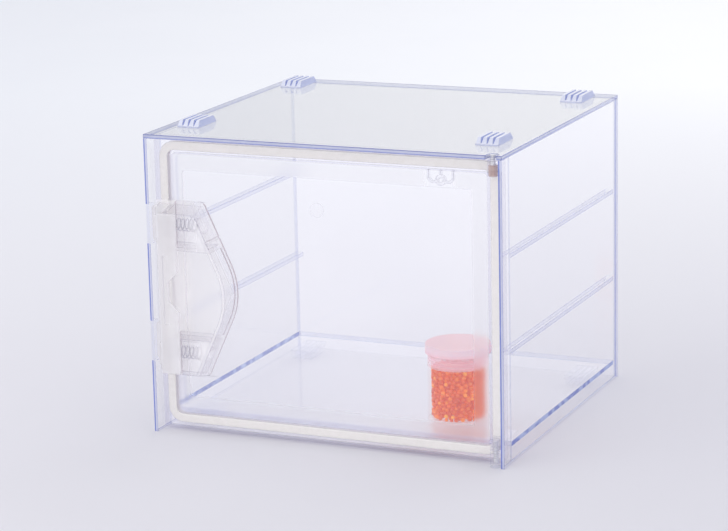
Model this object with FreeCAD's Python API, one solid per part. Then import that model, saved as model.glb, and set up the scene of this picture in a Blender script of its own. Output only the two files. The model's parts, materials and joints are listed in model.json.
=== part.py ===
import FreeCAD, Part

import math
import os

from FreeCAD import Vector

# A clear bench-top dry box for filament: a glued plate cabinet, a gasketed front door on a corner
# hinge, a squeeze latch in a bow grip, and a lidded jar of silica gel on the chamber floor.
#
# All sizes are in millimetres. The cabinet is drawn with x to the right from the left wall's outer
# face, y back from the walls' front edges and z up from the table, and is moved at export so that
# the origin is at the bottom centre of the whole object.

# Cabinet
WIDTH = 300.0
DEPTH = 274.0
HEIGHT = 243.0
WALL = 3.0
TOP_PLATE = 3.5
FLOOR_TOP = 15.0
FLOOR_PLATE = 4.0

# Sealing frame that the gasket presses on
FRAME_FRONT = 21.2
FRAME_THICK = 3.0
FRAME_INNER = (17.0, 283.0, 17.0, 225.5)
FRAME_CORNER = 6.0

# Shelf rails on the side walls
RAIL_HEIGHT = 4.0
RAIL_REACH = 6.5
RAIL_BOTTOMS = {"lower": 84.5, "upper": 159.5}

# Ribbed stacking blocks: bottom left corner in plan, then the length of each
BLOCK_LEFTS = {"left": 13.0, "right": 266.0}
BLOCK_FRONTS = {"front": (34.0, 32.0), "back": (226.0, 34.0)}
BLOCK_HEIGHT = 6.0
BLOCK_PAD = 1.2
FOOT_HEIGHT = 9.0
RIB_COUNT = 4
RIB_PITCH = 4.9
RIB_BASE = 4.1
RIB_CREST = 2.6
RIB_SET_BACK = 4.0

# Door
DOOR_LEFT = 4.0
DOOR_RIGHT = 296.0
DOOR_BOTTOM = 1.5
DOOR_TOP = 238.5
DOOR_FRONT = 10.0
DOOR_PLATE = 3.0
DOOR_CORNER = 3.0
CHANNEL_BACK = 19.4
LIP_BACK = 18.6
LIP_THICK = 2.4
WINDOW = (28.0, 272.0, 29.0, 214.0)
WINDOW_STEP = 0.6
WINDOW_CORNER = 3.0

# Gasket, by its centre line
GASKET_LEFT = 10.5
GASKET_RIGHT = 289.5
GASKET_BOTTOM = 9.6
GASKET_TOP = 232.4
GASKET_WIDTH = 6.6
GASKET_BACK = 21.0
GASKET_CORNER = 9.0
CHANNEL_GAP = 0.3

# Round moulding marks on the back of the door: x, z and radius
MOULD_MARKS = ((142.6, 188.8, 5.6), (210.2, 218.0, 4.0), (266.0, 218.0, 5.0))
MARK_DEPTH = 0.3

# Card hook under the gasket channel's inner lip
HOOK_X = 245.5
HOOK_HALF_WIDTH = 11.0
HOOK_BOTTOM = 216.4
HOOK_CHAMFER = 3.0
HOOK_RIB = 1.7
HOOK_BACK = 16.5
HOOK_BOSS_Z = 218.6
HOOK_BOSS_R = 4.3
HOOK_HOLE_R = 1.8

# Corner hinge, on a vertical axis in front of the door
HINGE_X = 291.5
HINGE_Y = 4.5
KNUCKLE_R = 4.5
PIN_R = 2.0
PIN_GAP = 0.05
PIN_PASS = 0.3
BUSH_R = 3.4
TOP_KNUCKLE = (226.5, DOOR_TOP)
TOP_BUSH = (226.5, 235.0)
TOP_PIN_BOTTOM = 228.0
NOTCH_R = 4.4
CAP_R = 4.3
BOTTOM_KNUCKLE = (14.0, 22.5)
BOTTOM_BUSH = (15.5, 22.0)
BOTTOM_PIN = (3.0, 21.0)
BRACKET = (0.0, 13.5)
BRACKET_WEB = (4.2, 8.8)

# Handle grip: a bow strap between two hollow arms
GRIP_Z = 118.5
GRIP_LEFT = 22.0
GRIP_HALF = 71.0
GRIP_FRONT = -15.0
GRIP_TOP_END = 46.8
GRIP_LEAN = 25.0
GRIP_BOW_R = 53.0
GRIP_CORNER = 5.0
STRAP = 2.7
ARM_INNER = 35.5
ARM_WALL = 2.2
FRONT_DROP = 6.5
ARM_FACE = -12.7
ARM_FLANGE = 7.8
STRAP_GROOVE = 44.0
GROOVE_DEPTH = 0.5
GROOVE_WIDTH = 1.8

# Latch slider
SLIDER_EDGE = 33.5
SLIDER_REAR = 9.6
SLIDER_CHEEK = 7.5
SLIDER_CHEEK_Y = 1.5
SLIDER_NOSE = 17.0
SLIDER_SHELL = 2.0
SLIDER_COVER_END = 17.7
SLIDER_DROP = 2.5
FINGER_NOTCH = (25.5, 112.5, 129.0, 104.0, 137.5)
GRIP_GROOVE = (20.8, 25.2, 94.5, 150.0, 0.8)
TAB_TIP = 3.4
TAB_Y = (3.2, 6.8)
TAB_SPANS = {"lower": (60.0, 91.0), "upper": (156.0, 186.0)}
TAB_CORNER = 3.0
TONGUE = (-10.2, -8.2)
TONGUE_END = 29.0
TONGUE_HALF = 9.0
RIB_X = (14.6, 17.0)
SLOT_Y = (2.3, 7.7)
SLOT_ROOM = 1.2
SLOT_CORNER = 2.0

# Latch springs, along x
SPRING_Y = -2.0
SPRING_Z = {"lower": 69.4, "upper": 173.0}
SPRING_END = 45.0
SPRING_COIL_R = 4.75
SPRING_WIRE_R = 0.45
SPRING_TURNS = 7
SPRING_SEAT_GAP = 0.1
GUIDE_R = 3.2
GUIDE_LENGTH = 6.0
BOSS_R = 6.2

# Desiccant jar
JAR_X = 235.5
JAR_Y = 70.0
JAR_R = 24.6
JAR_WALL = 1.6
JAR_FLOOR = 2.0
JAR_SHOULDER = 59.5
JAR_NECK_R = 23.4
JAR_TOP = 75.0
THREAD_BOTTOMS = (60.6, 63.6, 66.6)
THREAD_HEIGHT = 1.3
THREAD_R = 24.4
CAP_OUTER_R = 26.2
CAP_INNER_R = 24.7
CAP_BOTTOM = 69.5
CAP_TOP = 77.0
CAP_CORNER = 1.0
LINER = (75.0, 75.6)
GEL_GAP = 0.1
GEL_TOP = 58.8

X_AXIS = Vector(1, 0, 0)
Y_AXIS = Vector(0, 1, 0)
Z_AXIS = Vector(0, 0, 1)
HALF_TURN = 180.0
PAST = 1.0
TOUCH = 1e-6
ORIGIN = Vector(WIDTH / 2, (DEPTH + GRIP_FRONT) / 2, 0)


def block(x, y, z):
    """A box between pairs of limits along x, y and z."""
    return Part.makeBox(x[1] - x[0], y[1] - y[0], z[1] - z[0], Vector(x[0], y[0], z[0]))


def upright(x, y, radius, bottom, top):
    """A cylinder along z."""
    return Part.makeCylinder(radius, top - bottom, Vector(x, y, bottom), Z_AXIS)


def prism(points, base, direction):
    """A closed outline of points, each on the base plane, extruded along direction."""
    wire = Part.makePolygon([Vector(*p) + base for p in points + [points[0]]])
    return Part.Face(wire).extrude(direction)


def rounded_slab(x, y, z, radius):
    """A box between limits along x, y and z whose edges along y are rounded."""
    slab = block(x, y, z)
    edges = [e for e in slab.Edges if is_along(e, Y_AXIS)]
    return slab.makeFillet(radius, edges)


def is_along(edge, axis):
    """True for a straight edge that is parallel to axis."""
    run = edge.Vertexes[-1].Point - edge.Vertexes[0].Point
    return run.Length > 0 and run.cross(axis).Length < TOUCH


def ring_slab(outer, inner, y, outer_radius, inner_radius):
    """A rounded rectangular ring in the xz plane, between limits along y."""
    body = rounded_slab(outer[:2], y, outer[2:], outer_radius)
    past = (y[0] - PAST, y[1] + PAST)
    return body.cut(rounded_slab(inner[:2], past, inner[2:], inner_radius))


def grown(rectangle, amount):
    """A rectangle (x low, x high, z low, z high) that is larger by amount on each side."""
    x0, x1, z0, z1 = rectangle
    return (x0 - amount, x1 + amount, z0 - amount, z1 + amount)


# --- Cabinet ------------------------------------------------------------------------------------


def left_wall():
    """The left wall, with a strike slot behind its front edge for each latch tab."""
    wall = block((0, WALL), (0, DEPTH), (0, HEIGHT - TOP_PLATE))
    for bottom, top in TAB_SPANS.values():
        slot = block((-PAST, WALL + PAST), SLOT_Y, (bottom - SLOT_ROOM, top + SLOT_ROOM))
        slot = slot.makeFillet(SLOT_CORNER, [e for e in slot.Edges if is_along(e, X_AXIS)])
        wall = wall.cut(slot)
    return wall


def right_wall():
    return block((WIDTH - WALL, WIDTH), (0, DEPTH), (0, HEIGHT - TOP_PLATE))


def back_panel():
    return block((WALL, WIDTH - WALL), (DEPTH - WALL, DEPTH), (0, HEIGHT - TOP_PLATE))


def floor_panel():
    front = FRAME_FRONT + FRAME_THICK
    return block((WALL, WIDTH - WALL), (front, DEPTH - WALL), (FLOOR_TOP - FLOOR_PLATE, FLOOR_TOP))


def top_panel():
    """The top, with a U notch in its front edge for the hinge cap."""
    z = (HEIGHT - TOP_PLATE, HEIGHT)
    past = (z[0] - PAST, z[1] + PAST)
    notch = block((HINGE_X - NOTCH_R, HINGE_X + NOTCH_R), (-PAST, HINGE_Y), past)
    notch = notch.fuse(upright(HINGE_X, HINGE_Y, NOTCH_R, *past))
    return block((0, WIDTH), (0, DEPTH), z).cut(notch)


def sealing_frame():
    """The flange round the door opening. Its lower bar closes the skirt down to the table."""
    outer = (WALL, WIDTH - WALL, 0, HEIGHT - TOP_PLATE)
    y = (FRAME_FRONT, FRAME_FRONT + FRAME_THICK)
    body = block(outer[:2], y, outer[2:])
    past = (y[0] - PAST, y[1] + PAST)
    return body.cut(rounded_slab(FRAME_INNER[:2], past, FRAME_INNER[2:], FRAME_CORNER))


def shelf_rail(side, bottom):
    inner = WALL if side == "left" else WIDTH - WALL
    x = (inner, inner + RAIL_REACH) if side == "left" else (inner - RAIL_REACH, inner)
    y = (FRAME_FRONT + FRAME_THICK, DEPTH - WALL)
    return block(x, y, (bottom, bottom + RAIL_HEIGHT))


def rib(x, y, z, height):
    """One rib of a stacking block, tapered in from all sides. A negative height hangs down."""
    inset = (RIB_BASE - RIB_CREST) / 2
    low = [(x, y[0]), (x + RIB_BASE, y[0]), (x + RIB_BASE, y[1]), (x, y[1])]
    crest = [
        (x + inset, y[0] + RIB_SET_BACK),
        (x + RIB_BASE - inset, y[0] + RIB_SET_BACK),
        (x + RIB_BASE - inset, y[1] - RIB_SET_BACK),
        (x + inset, y[1] - RIB_SET_BACK),
    ]
    wires = []
    for outline, level in ((low, z), (crest, z + height)):
        points = [Vector(px, py, level) for px, py in outline]
        wires.append(Part.makePolygon(points + [points[0]]))
    return Part.makeLoft(wires, True, True)


def ribbed_block(x, front, length, face, height):
    """Parallel ribs on a thin pad that is glued to the face at that height."""
    y = (front, front + length)
    pad = math.copysign(BLOCK_PAD, height)
    width = RIB_PITCH * (RIB_COUNT - 1) + RIB_BASE
    body = block((x, x + width), y, tuple(sorted((face, face + pad))))
    for i in range(RIB_COUNT):
        body = body.fuse(rib(x + i * RIB_PITCH, y, face + pad, height - pad))
    return body.removeSplitter()


# --- Hinge --------------------------------------------------------------------------------------


def hinge_cap():
    """The plug in the top panel's notch that holds the upper pin."""
    z = (HEIGHT - TOP_PLATE, HEIGHT)
    plug = upright(HINGE_X, HINGE_Y, CAP_R, *z)
    plug = plug.fuse(block((HINGE_X - CAP_R, HINGE_X + CAP_R), (PAST, HINGE_Y), z))
    return plug.cut(upright(HINGE_X, HINGE_Y, PIN_R, z[0] - PAST, z[1] + PAST)).removeSplitter()


def hinge_bracket():
    """The lower knuckle, on a web that is glued to the right wall."""
    body = upright(HINGE_X, HINGE_Y, KNUCKLE_R, *BRACKET)
    body = body.fuse(block((HINGE_X, WIDTH - WALL), BRACKET_WEB, BRACKET))
    hole = upright(HINGE_X, HINGE_Y, PIN_R, BOTTOM_PIN[0], BRACKET[1] + PAST)
    return body.cut(hole).removeSplitter()


def hinge_bush(z):
    bush = upright(HINGE_X, HINGE_Y, BUSH_R, *z)
    return bush.cut(upright(HINGE_X, HINGE_Y, PIN_R + PIN_GAP, z[0] - PAST, z[1] + PAST))


def knuckle(z, bush):
    """A hinge barrel on the door's front, bored for its bush and the pin."""
    body = upright(HINGE_X, HINGE_Y, KNUCKLE_R, *z)
    body = body.fuse(block((HINGE_X - KNUCKLE_R, HINGE_X + KNUCKLE_R), (HINGE_Y, DOOR_FRONT), z))
    body = body.cut(upright(HINGE_X, HINGE_Y, PIN_R + PIN_PASS, z[0] - PAST, z[1] + PAST))
    return body.cut(upright(HINGE_X, HINGE_Y, BUSH_R, *bush))


# --- Door ---------------------------------------------------------------------------------------


def gasket_rectangle(offset):
    """The gasket's centre line as a rectangle, moved out by offset, and its corner radius."""
    centre = (GASKET_LEFT, GASKET_RIGHT, GASKET_BOTTOM, GASKET_TOP)
    return grown(centre, offset), GASKET_CORNER + offset


def door_gasket():
    outer, outer_radius = gasket_rectangle(GASKET_WIDTH / 2)
    inner, inner_radius = gasket_rectangle(-GASKET_WIDTH / 2)
    y = (DOOR_FRONT + DOOR_PLATE, GASKET_BACK)
    return ring_slab(outer, inner, y, outer_radius, inner_radius)


def door_panel():
    """The moulded door: a plate with a gasket channel behind it and two hinge barrels."""
    outline = (DOOR_LEFT, DOOR_RIGHT, DOOR_BOTTOM, DOOR_TOP)
    plate_back = DOOR_FRONT + DOOR_PLATE
    half = GASKET_WIDTH / 2 + CHANNEL_GAP
    body = rounded_slab(outline[:2], (DOOR_FRONT, plate_back), outline[2:], DOOR_CORNER)
    channel, channel_radius = gasket_rectangle(half)
    rim = ring_slab(outline, channel, (plate_back, CHANNEL_BACK), DOOR_CORNER, channel_radius)
    lip_outer, lip_radius = gasket_rectangle(-half)
    lip_inner, lip_inner_radius = gasket_rectangle(-half - LIP_THICK)
    lip_inner_radius = max(lip_inner_radius, PAST)
    lip = ring_slab(lip_outer, lip_inner, (plate_back, LIP_BACK), lip_radius, lip_inner_radius)
    body = body.fuse([rim, lip, knuckle(TOP_KNUCKLE, TOP_BUSH), knuckle(BOTTOM_KNUCKLE, BOTTOM_BUSH)])
    step = (DOOR_FRONT - PAST, DOOR_FRONT + WINDOW_STEP)
    body = body.cut(rounded_slab(WINDOW[:2], step, WINDOW[2:], WINDOW_CORNER))
    for x, z, radius in MOULD_MARKS:
        mark = Part.makeCylinder(radius, PAST, Vector(x, plate_back - MARK_DEPTH, z), Y_AXIS)
        body = body.cut(mark)
    return body.removeSplitter()


def card_hook():
    """A shield of thin ribs under the channel's lip, with a stem and a bored boss."""
    base = Vector(0, DOOR_FRONT + DOOR_PLATE, 0)
    depth = Vector(0, HOOK_BACK - base.y, 0)
    lip_outer, _ = gasket_rectangle(-GASKET_WIDTH / 2 - CHANNEL_GAP - LIP_THICK)
    top = lip_outer[3]

    def shield(inset, chamfer):
        half = HOOK_HALF_WIDTH - inset
        bottom = HOOK_BOTTOM + inset
        points = [
            (HOOK_X - half, 0, top),
            (HOOK_X - half, 0, bottom + chamfer),
            (HOOK_X - half + chamfer, 0, bottom),
            (HOOK_X + half - chamfer, 0, bottom),
            (HOOK_X + half, 0, bottom + chamfer),
            (HOOK_X + half, 0, top),
        ]
        return prism(points, base, depth)

    body = shield(0, HOOK_CHAMFER).cut(shield(HOOK_RIB, HOOK_CHAMFER - HOOK_RIB / 2))
    stem_x = (HOOK_X - HOOK_RIB / 2, HOOK_X + HOOK_RIB / 2)
    boss_at = Vector(HOOK_X, base.y, HOOK_BOSS_Z)
    body = body.fuse(block(stem_x, (base.y, HOOK_BACK), (HOOK_BOSS_Z, top)))
    body = body.fuse(Part.makeCylinder(HOOK_BOSS_R, depth.y, boss_at, Y_AXIS))
    hole_at = boss_at - Vector(0, PAST, 0)
    body = body.cut(Part.makeCylinder(HOOK_HOLE_R, depth.y + 2 * PAST, hole_at, Y_AXIS))
    return body.removeSplitter()


# --- Handle grip --------------------------------------------------------------------------------


def lean_point(z_offset, inset):
    """x on the strap's leaning outer face, moved in by inset, at a height off the grip's middle."""
    lean = math.radians(GRIP_LEAN)
    run = (GRIP_HALF - abs(z_offset)) * math.tan(lean)
    return GRIP_TOP_END + run - inset / math.cos(lean)


def bow_face(left, half, inset, corner):
    """The grip's outline in the xz plane: straight at the left, bowed at the right."""
    lean = math.radians(GRIP_LEAN)
    radius = GRIP_BOW_R - inset
    centre_x = lean_point(0, inset) - radius / math.cos(lean)
    mid = Vector(centre_x + radius, 0, GRIP_Z)
    turn = Vector(radius * math.cos(lean), 0, radius * math.sin(lean))
    centre = Vector(centre_x, 0, GRIP_Z)
    upper = centre + turn
    lower = centre + Vector(turn.x, 0, -turn.z)
    top = Vector(lean_point(half, inset), 0, GRIP_Z + half)
    bottom = Vector(top.x, 0, GRIP_Z - half)
    edges = [
        Part.LineSegment(Vector(left, 0, top.z), top),
        Part.LineSegment(top, upper),
        Part.Arc(upper, mid, lower),
        Part.LineSegment(lower, bottom),
        Part.LineSegment(bottom, Vector(left, 0, bottom.z)),
        Part.LineSegment(Vector(left, 0, bottom.z), Vector(left, 0, top.z)),
    ]
    face = Part.Face(Part.Wire([e.toShape() for e in edges]))
    if not corner:
        return face
    solid = face.extrude(Vector(0, PAST, 0))
    at = [top, bottom]
    rounds = [
        e for e in solid.Edges if is_along(e, Y_AXIS) and min(flat_gap(e, p) for p in at) < TOUCH
    ]
    solid = solid.makeFillet(corner, rounds)
    return [f for f in solid.Faces if f.CenterOfMass.y < TOUCH][0]


def flat_gap(edge, point):
    """How far an edge along y stands from a point, seen along y."""
    start = edge.Vertexes[0].Point
    return math.hypot(start.x - point.x, start.z - point.z)


def bow_prism(left, half, inset, corner, y):
    face = bow_face(left, half, inset, corner)
    face.translate(Vector(0, y[0], 0))
    return face.extrude(Vector(0, y[1] - y[0], 0))


def tapered_slab(half, drop, x, y):
    """A slab about the grip's middle whose top and bottom slope in towards the front."""
    slope = FRONT_DROP / (DOOR_FRONT - GRIP_FRONT)
    front_half = half - drop - (DOOR_FRONT - y[0]) * slope
    back_half = half - drop - (DOOR_FRONT - y[1]) * slope
    points = [
        (0, y[0], GRIP_Z - front_half),
        (0, y[1], GRIP_Z - back_half),
        (0, y[1], GRIP_Z + back_half),
        (0, y[0], GRIP_Z + front_half),
    ]
    return prism(points, Vector(x[0], 0, 0), Vector(x[1] - x[0], 0, 0))


def arm_spans():
    """The two ranges of z that the hollow arms fill, out past the grip's ends."""
    inner = ARM_INNER + ARM_WALL
    outer = GRIP_HALF + PAST
    return ((GRIP_Z - outer, GRIP_Z - inner), (GRIP_Z + inner, GRIP_Z + outer))


def handle_grip():
    """A bow strap, joined to the door by two hollow arms that open towards the slider."""
    y = (GRIP_FRONT, DOOR_FRONT)
    x = (GRIP_LEFT - PAST, WIDTH / 2)
    body = bow_prism(GRIP_LEFT, GRIP_HALF, 0, GRIP_CORNER, y)
    body = body.common(tapered_slab(GRIP_HALF, 0, x, y))
    finger_slab = block(x, (y[0] - PAST, y[1] + PAST), (GRIP_Z - ARM_INNER, GRIP_Z + ARM_INNER))
    inside = bow_prism(GRIP_LEFT - PAST, GRIP_HALF, STRAP, 0, (y[0] - PAST, y[1] + PAST))
    body = body.cut(inside.common(finger_slab))
    room_y = (ARM_FACE + ARM_WALL, ARM_FLANGE)
    room_slab = tapered_slab(GRIP_HALF, ARM_WALL, x, room_y)
    for span in arm_spans():
        room = bow_prism(GRIP_LEFT - PAST, GRIP_HALF, STRAP, 0, room_y)
        body = body.cut(room.common(room_slab).common(block(x, room_y, span)))
    recess = inside.common(block(x, (y[0] - PAST, ARM_FACE), (0, HEIGHT)))
    body = body.cut(recess)
    for z in SPRING_Z.values():
        body = body.fuse(spring_boss(z))
    return body.cut(strap_groove()).removeSplitter()


def spring_boss(z):
    """The round seat between a spring's fixed end and the strap, with a spigot in the coil."""
    reach = lean_point(z - GRIP_Z, STRAP / 2) - SPRING_END
    seat = Part.makeCylinder(BOSS_R, reach, Vector(SPRING_END, SPRING_Y, z), X_AXIS)
    seat = seat.common(bow_prism(GRIP_LEFT, GRIP_HALF, STRAP / 2, 0, (GRIP_FRONT, DOOR_FRONT)))
    start = SPRING_END - GUIDE_LENGTH
    spigot = Part.makeCylinder(GUIDE_R, GUIDE_LENGTH, Vector(start, SPRING_Y, z), X_AXIS)
    return seat.fuse(spigot)


def strap_groove():
    """A shallow line across the strap's outer face below the upper arm."""
    across = Vector(-GROOVE_DEPTH, GRIP_FRONT - PAST, -GROOVE_WIDTH / 2)
    depth = DOOR_FRONT - GRIP_FRONT + 2 * PAST
    groove = Part.makeBox(2 * GROOVE_DEPTH, depth, GROOVE_WIDTH, across)
    groove.rotate(Vector(0, 0, 0), Y_AXIS, -GRIP_LEAN)
    groove.translate(Vector(lean_point(STRAP_GROOVE, 0), 0, GRIP_Z + STRAP_GROOVE))
    return groove


# --- Latch slider -------------------------------------------------------------------------------


def slider_cover(inset):
    """The outline of the slider's cheek in plan, moved in by inset, up to the grip's end."""
    run = Vector(SLIDER_NOSE - SLIDER_CHEEK, GRIP_FRONT - SLIDER_CHEEK_Y, 0)
    shift = inset * run.Length / abs(run.y)
    cheek = SLIDER_CHEEK + inset
    front = GRIP_FRONT + inset
    fold_y = SLIDER_CHEEK_Y + (inset - shift) * run.y / run.x
    nose = SLIDER_NOSE + shift + inset * run.x / run.y
    end = SLIDER_COVER_END + (PAST if inset else 0)
    rear = SLIDER_REAR + (PAST if inset else 0)
    return [(cheek, rear, 0), (cheek, fold_y, 0), (nose, front, 0), (end, front, 0), (end, rear, 0)]


def latch_slider():
    """The sliding latch: a folded cheek and front plate, two tabs, and two sprung tongues."""
    x = (0, WIDTH / 2)
    y = (GRIP_FRONT, SLIDER_REAR)
    past_y = (y[0] - PAST, y[1] + PAST)
    tall = Vector(0, 0, HEIGHT)
    body = prism(slider_cover(0), Vector(), tall)
    body = body.common(tapered_slab(GRIP_HALF, SLIDER_DROP, x, past_y))
    hollow = prism(slider_cover(SLIDER_SHELL), Vector(), tall)
    hollow = hollow.common(tapered_slab(GRIP_HALF, SLIDER_DROP + SLIDER_SHELL, x, past_y))
    body = body.cut(hollow)
    plate_y = (GRIP_FRONT, GRIP_FRONT + SLIDER_SHELL)
    plate = block((SLIDER_NOSE, SLIDER_EDGE), plate_y, (0, HEIGHT))
    plate = plate.common(tapered_slab(GRIP_HALF, 0, x, plate_y))
    body = body.fuse(plate)
    tab_x = (TAB_TIP, SLIDER_CHEEK + SLIDER_SHELL)
    for span in TAB_SPANS.values():
        body = body.fuse(rounded_slab(tab_x, TAB_Y, span, TAB_CORNER))
    for z in SPRING_Z.values():
        body = body.fuse(spring_tongue(z))
    return body.cut([finger_notch(), grip_groove()]).removeSplitter()


def spring_tongue(z):
    """The rib behind a spring's moving end, its guide pin, and the tongue that keeps the slider on."""
    span = (z - TONGUE_HALF, z + TONGUE_HALF)
    body = block(RIB_X, (GRIP_FRONT + SLIDER_SHELL / 2, SPRING_Y + BOSS_R), span)
    body = body.fuse(block((RIB_X[0], TONGUE_END), TONGUE, span))
    pin_at = Vector(RIB_X[1], SPRING_Y, z)
    return body.fuse(Part.makeCylinder(GUIDE_R, GUIDE_LENGTH, pin_at, X_AXIS))


def finger_notch():
    """The trapezoid cut into the slider's right edge for the fingertips."""
    floor, low, high, mouth_low, mouth_high = FINGER_NOTCH
    mouth = SLIDER_EDGE + PAST
    points = [(floor, 0, low), (floor, 0, high), (mouth, 0, mouth_high), (mouth, 0, mouth_low)]
    return prism(points, Vector(0, GRIP_FRONT - PAST, 0), Vector(0, SLIDER_SHELL + 2 * PAST, 0))


def grip_groove():
    """The shallow upright groove for the thumb."""
    x0, x1, z0, z1, deep = GRIP_GROOVE
    return block((x0, x1), (GRIP_FRONT - PAST, GRIP_FRONT + deep), (z0, z1))


def latch_spring(z):
    """A round-wire coil of alternately tilted half rings, from the slider's rib to the grip's seat."""
    clear = SPRING_WIRE_R + SPRING_SEAT_GAP
    start = RIB_X[1] + clear
    half_pitch = (SPRING_END - clear - start) / SPRING_TURNS / 2
    halves = []
    for i in range(2 * SPRING_TURNS):
        side = (-1) ** i
        here = Vector(start + i * half_pitch, SPRING_Y, z + side * SPRING_COIL_R)
        chord = Vector(half_pitch, 0, -2 * side * SPRING_COIL_R)
        wire_end = Part.Face(Part.Wire(Part.makeCircle(SPRING_WIRE_R, here, Y_AXIS)))
        halves.append(wire_end.revolve(here + chord / 2, chord.cross(Y_AXIS) * side, HALF_TURN))
    return halves[0].fuse(halves[1:]).Solids[0]


# --- Desiccant jar ------------------------------------------------------------------------------


def at_jar(radius, bottom, top):
    return upright(JAR_X, JAR_Y, radius, bottom, top)


def jar_body():
    """A straight cup with a thinner neck and moulded rings under the cap."""
    body = at_jar(JAR_R, FLOOR_TOP, JAR_SHOULDER).fuse(at_jar(JAR_NECK_R, JAR_SHOULDER, JAR_TOP))
    for bottom in THREAD_BOTTOMS:
        body = body.fuse(at_jar(THREAD_R, bottom, bottom + THREAD_HEIGHT))
    body = body.cut(at_jar(JAR_NECK_R - JAR_WALL, FLOOR_TOP + JAR_FLOOR, JAR_TOP + PAST))
    return body.removeSplitter()


def silica_gel():
    """The bed of gel beads, as one lump that fills the jar to the shoulder."""
    return at_jar(JAR_NECK_R - JAR_WALL - GEL_GAP, FLOOR_TOP + JAR_FLOOR, GEL_TOP)


def jar_cap():
    body = at_jar(CAP_OUTER_R, CAP_BOTTOM, CAP_TOP)
    rim = [e for e in body.Edges if e.Closed and e.Vertexes[0].Z > CAP_TOP - CAP_CORNER]
    body = body.makeFillet(CAP_CORNER, rim)
    return body.cut(at_jar(CAP_INNER_R, CAP_BOTTOM - PAST, LINER[1]))


def cap_liner():
    return at_jar(CAP_INNER_R, *LINER)


# --- Export -------------------------------------------------------------------------------------


def parts():
    """Every node's name and solid, in the cabinet's own coordinates."""
    yield "left_wall", left_wall()
    yield "right_wall", right_wall()
    yield "back_panel", back_panel()
    yield "floor_panel", floor_panel()
    yield "top_panel", top_panel()
    yield "sealing_frame", sealing_frame()
    for side in ("left", "right"):
        for level, bottom in RAIL_BOTTOMS.items():
            yield f"shelf_rail_{side}_{level}", shelf_rail(side, bottom)
    for side, x in BLOCK_LEFTS.items():
        for end, (front, length) in BLOCK_FRONTS.items():
            top_block = ribbed_block(x, front, length, HEIGHT, BLOCK_HEIGHT)
            yield f"stacking_block_{end}_{side}", top_block
            underside = FLOOR_TOP - FLOOR_PLATE
            foot = ribbed_block(x + RIB_PITCH / 2, front, length, underside, -FOOT_HEIGHT)
            yield f"underside_block_{end}_{side}", foot
    yield "hinge_cap_top", hinge_cap()
    yield "hinge_pin_top", upright(HINGE_X, HINGE_Y, PIN_R, TOP_PIN_BOTTOM, HEIGHT)
    yield "hinge_bush_top", hinge_bush(TOP_BUSH)
    yield "hinge_bracket_bottom", hinge_bracket()
    yield "hinge_pin_bottom", upright(HINGE_X, HINGE_Y, PIN_R, *BOTTOM_PIN)
    yield "hinge_bush_bottom", hinge_bush(BOTTOM_BUSH)
    yield "door_panel", door_panel()
    yield "door_gasket", door_gasket()
    yield "card_hook", card_hook()
    yield "handle_grip", handle_grip()
    yield "latch_slider", latch_slider()
    for level, z in SPRING_Z.items():
        yield f"latch_spring_{level}", latch_spring(z)
    yield "jar_body", jar_body()
    yield "silica_gel", silica_gel()
    yield "jar_cap", jar_cap()
    yield "cap_liner", cap_liner()


def main():
    os.makedirs("parts", exist_ok=True)
    for name, shape in parts():
        shape.translate(-ORIGIN)
        shape.exportStep(f"parts/{name}.step")
        print(name, len(shape.Solids), shape.isValid(), round(shape.Volume, 1))


main()
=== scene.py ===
import json
import math
import random

import bmesh
import bpy
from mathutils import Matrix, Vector

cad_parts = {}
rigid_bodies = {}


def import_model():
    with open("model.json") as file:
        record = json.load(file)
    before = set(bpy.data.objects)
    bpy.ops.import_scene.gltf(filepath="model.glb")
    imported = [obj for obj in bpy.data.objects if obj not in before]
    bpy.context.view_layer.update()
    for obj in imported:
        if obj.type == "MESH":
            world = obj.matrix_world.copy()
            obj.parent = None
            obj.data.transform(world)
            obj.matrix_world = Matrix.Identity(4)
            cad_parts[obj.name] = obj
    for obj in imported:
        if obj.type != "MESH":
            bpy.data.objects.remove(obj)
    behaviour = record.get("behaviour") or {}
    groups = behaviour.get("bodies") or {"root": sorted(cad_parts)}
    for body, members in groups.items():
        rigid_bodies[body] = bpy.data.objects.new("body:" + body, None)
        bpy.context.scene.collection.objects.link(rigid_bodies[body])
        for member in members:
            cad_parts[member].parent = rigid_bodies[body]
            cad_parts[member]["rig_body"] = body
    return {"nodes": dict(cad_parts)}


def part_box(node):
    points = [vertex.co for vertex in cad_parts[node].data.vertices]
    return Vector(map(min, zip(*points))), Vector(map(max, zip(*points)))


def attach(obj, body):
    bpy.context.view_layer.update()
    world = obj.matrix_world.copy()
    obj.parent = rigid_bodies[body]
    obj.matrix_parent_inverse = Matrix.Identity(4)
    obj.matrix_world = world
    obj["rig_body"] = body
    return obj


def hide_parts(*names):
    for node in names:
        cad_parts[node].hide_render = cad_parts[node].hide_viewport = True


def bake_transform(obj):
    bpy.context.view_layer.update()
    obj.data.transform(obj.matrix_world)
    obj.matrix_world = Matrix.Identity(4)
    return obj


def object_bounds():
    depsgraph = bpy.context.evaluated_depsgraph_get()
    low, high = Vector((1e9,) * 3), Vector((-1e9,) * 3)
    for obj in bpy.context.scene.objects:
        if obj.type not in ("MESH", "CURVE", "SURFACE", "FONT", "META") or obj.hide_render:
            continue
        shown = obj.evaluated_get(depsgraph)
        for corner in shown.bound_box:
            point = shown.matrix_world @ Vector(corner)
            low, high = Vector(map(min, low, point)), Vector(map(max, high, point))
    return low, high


# A clear bench-top dry box with a gasketed door, a squeeze latch and a jar of silica gel.
# All lengths are in metres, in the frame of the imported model.

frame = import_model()
cad_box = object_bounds()
MM = 0.001


# --- Node helpers -------------------------------------------------------------------------------


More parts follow.
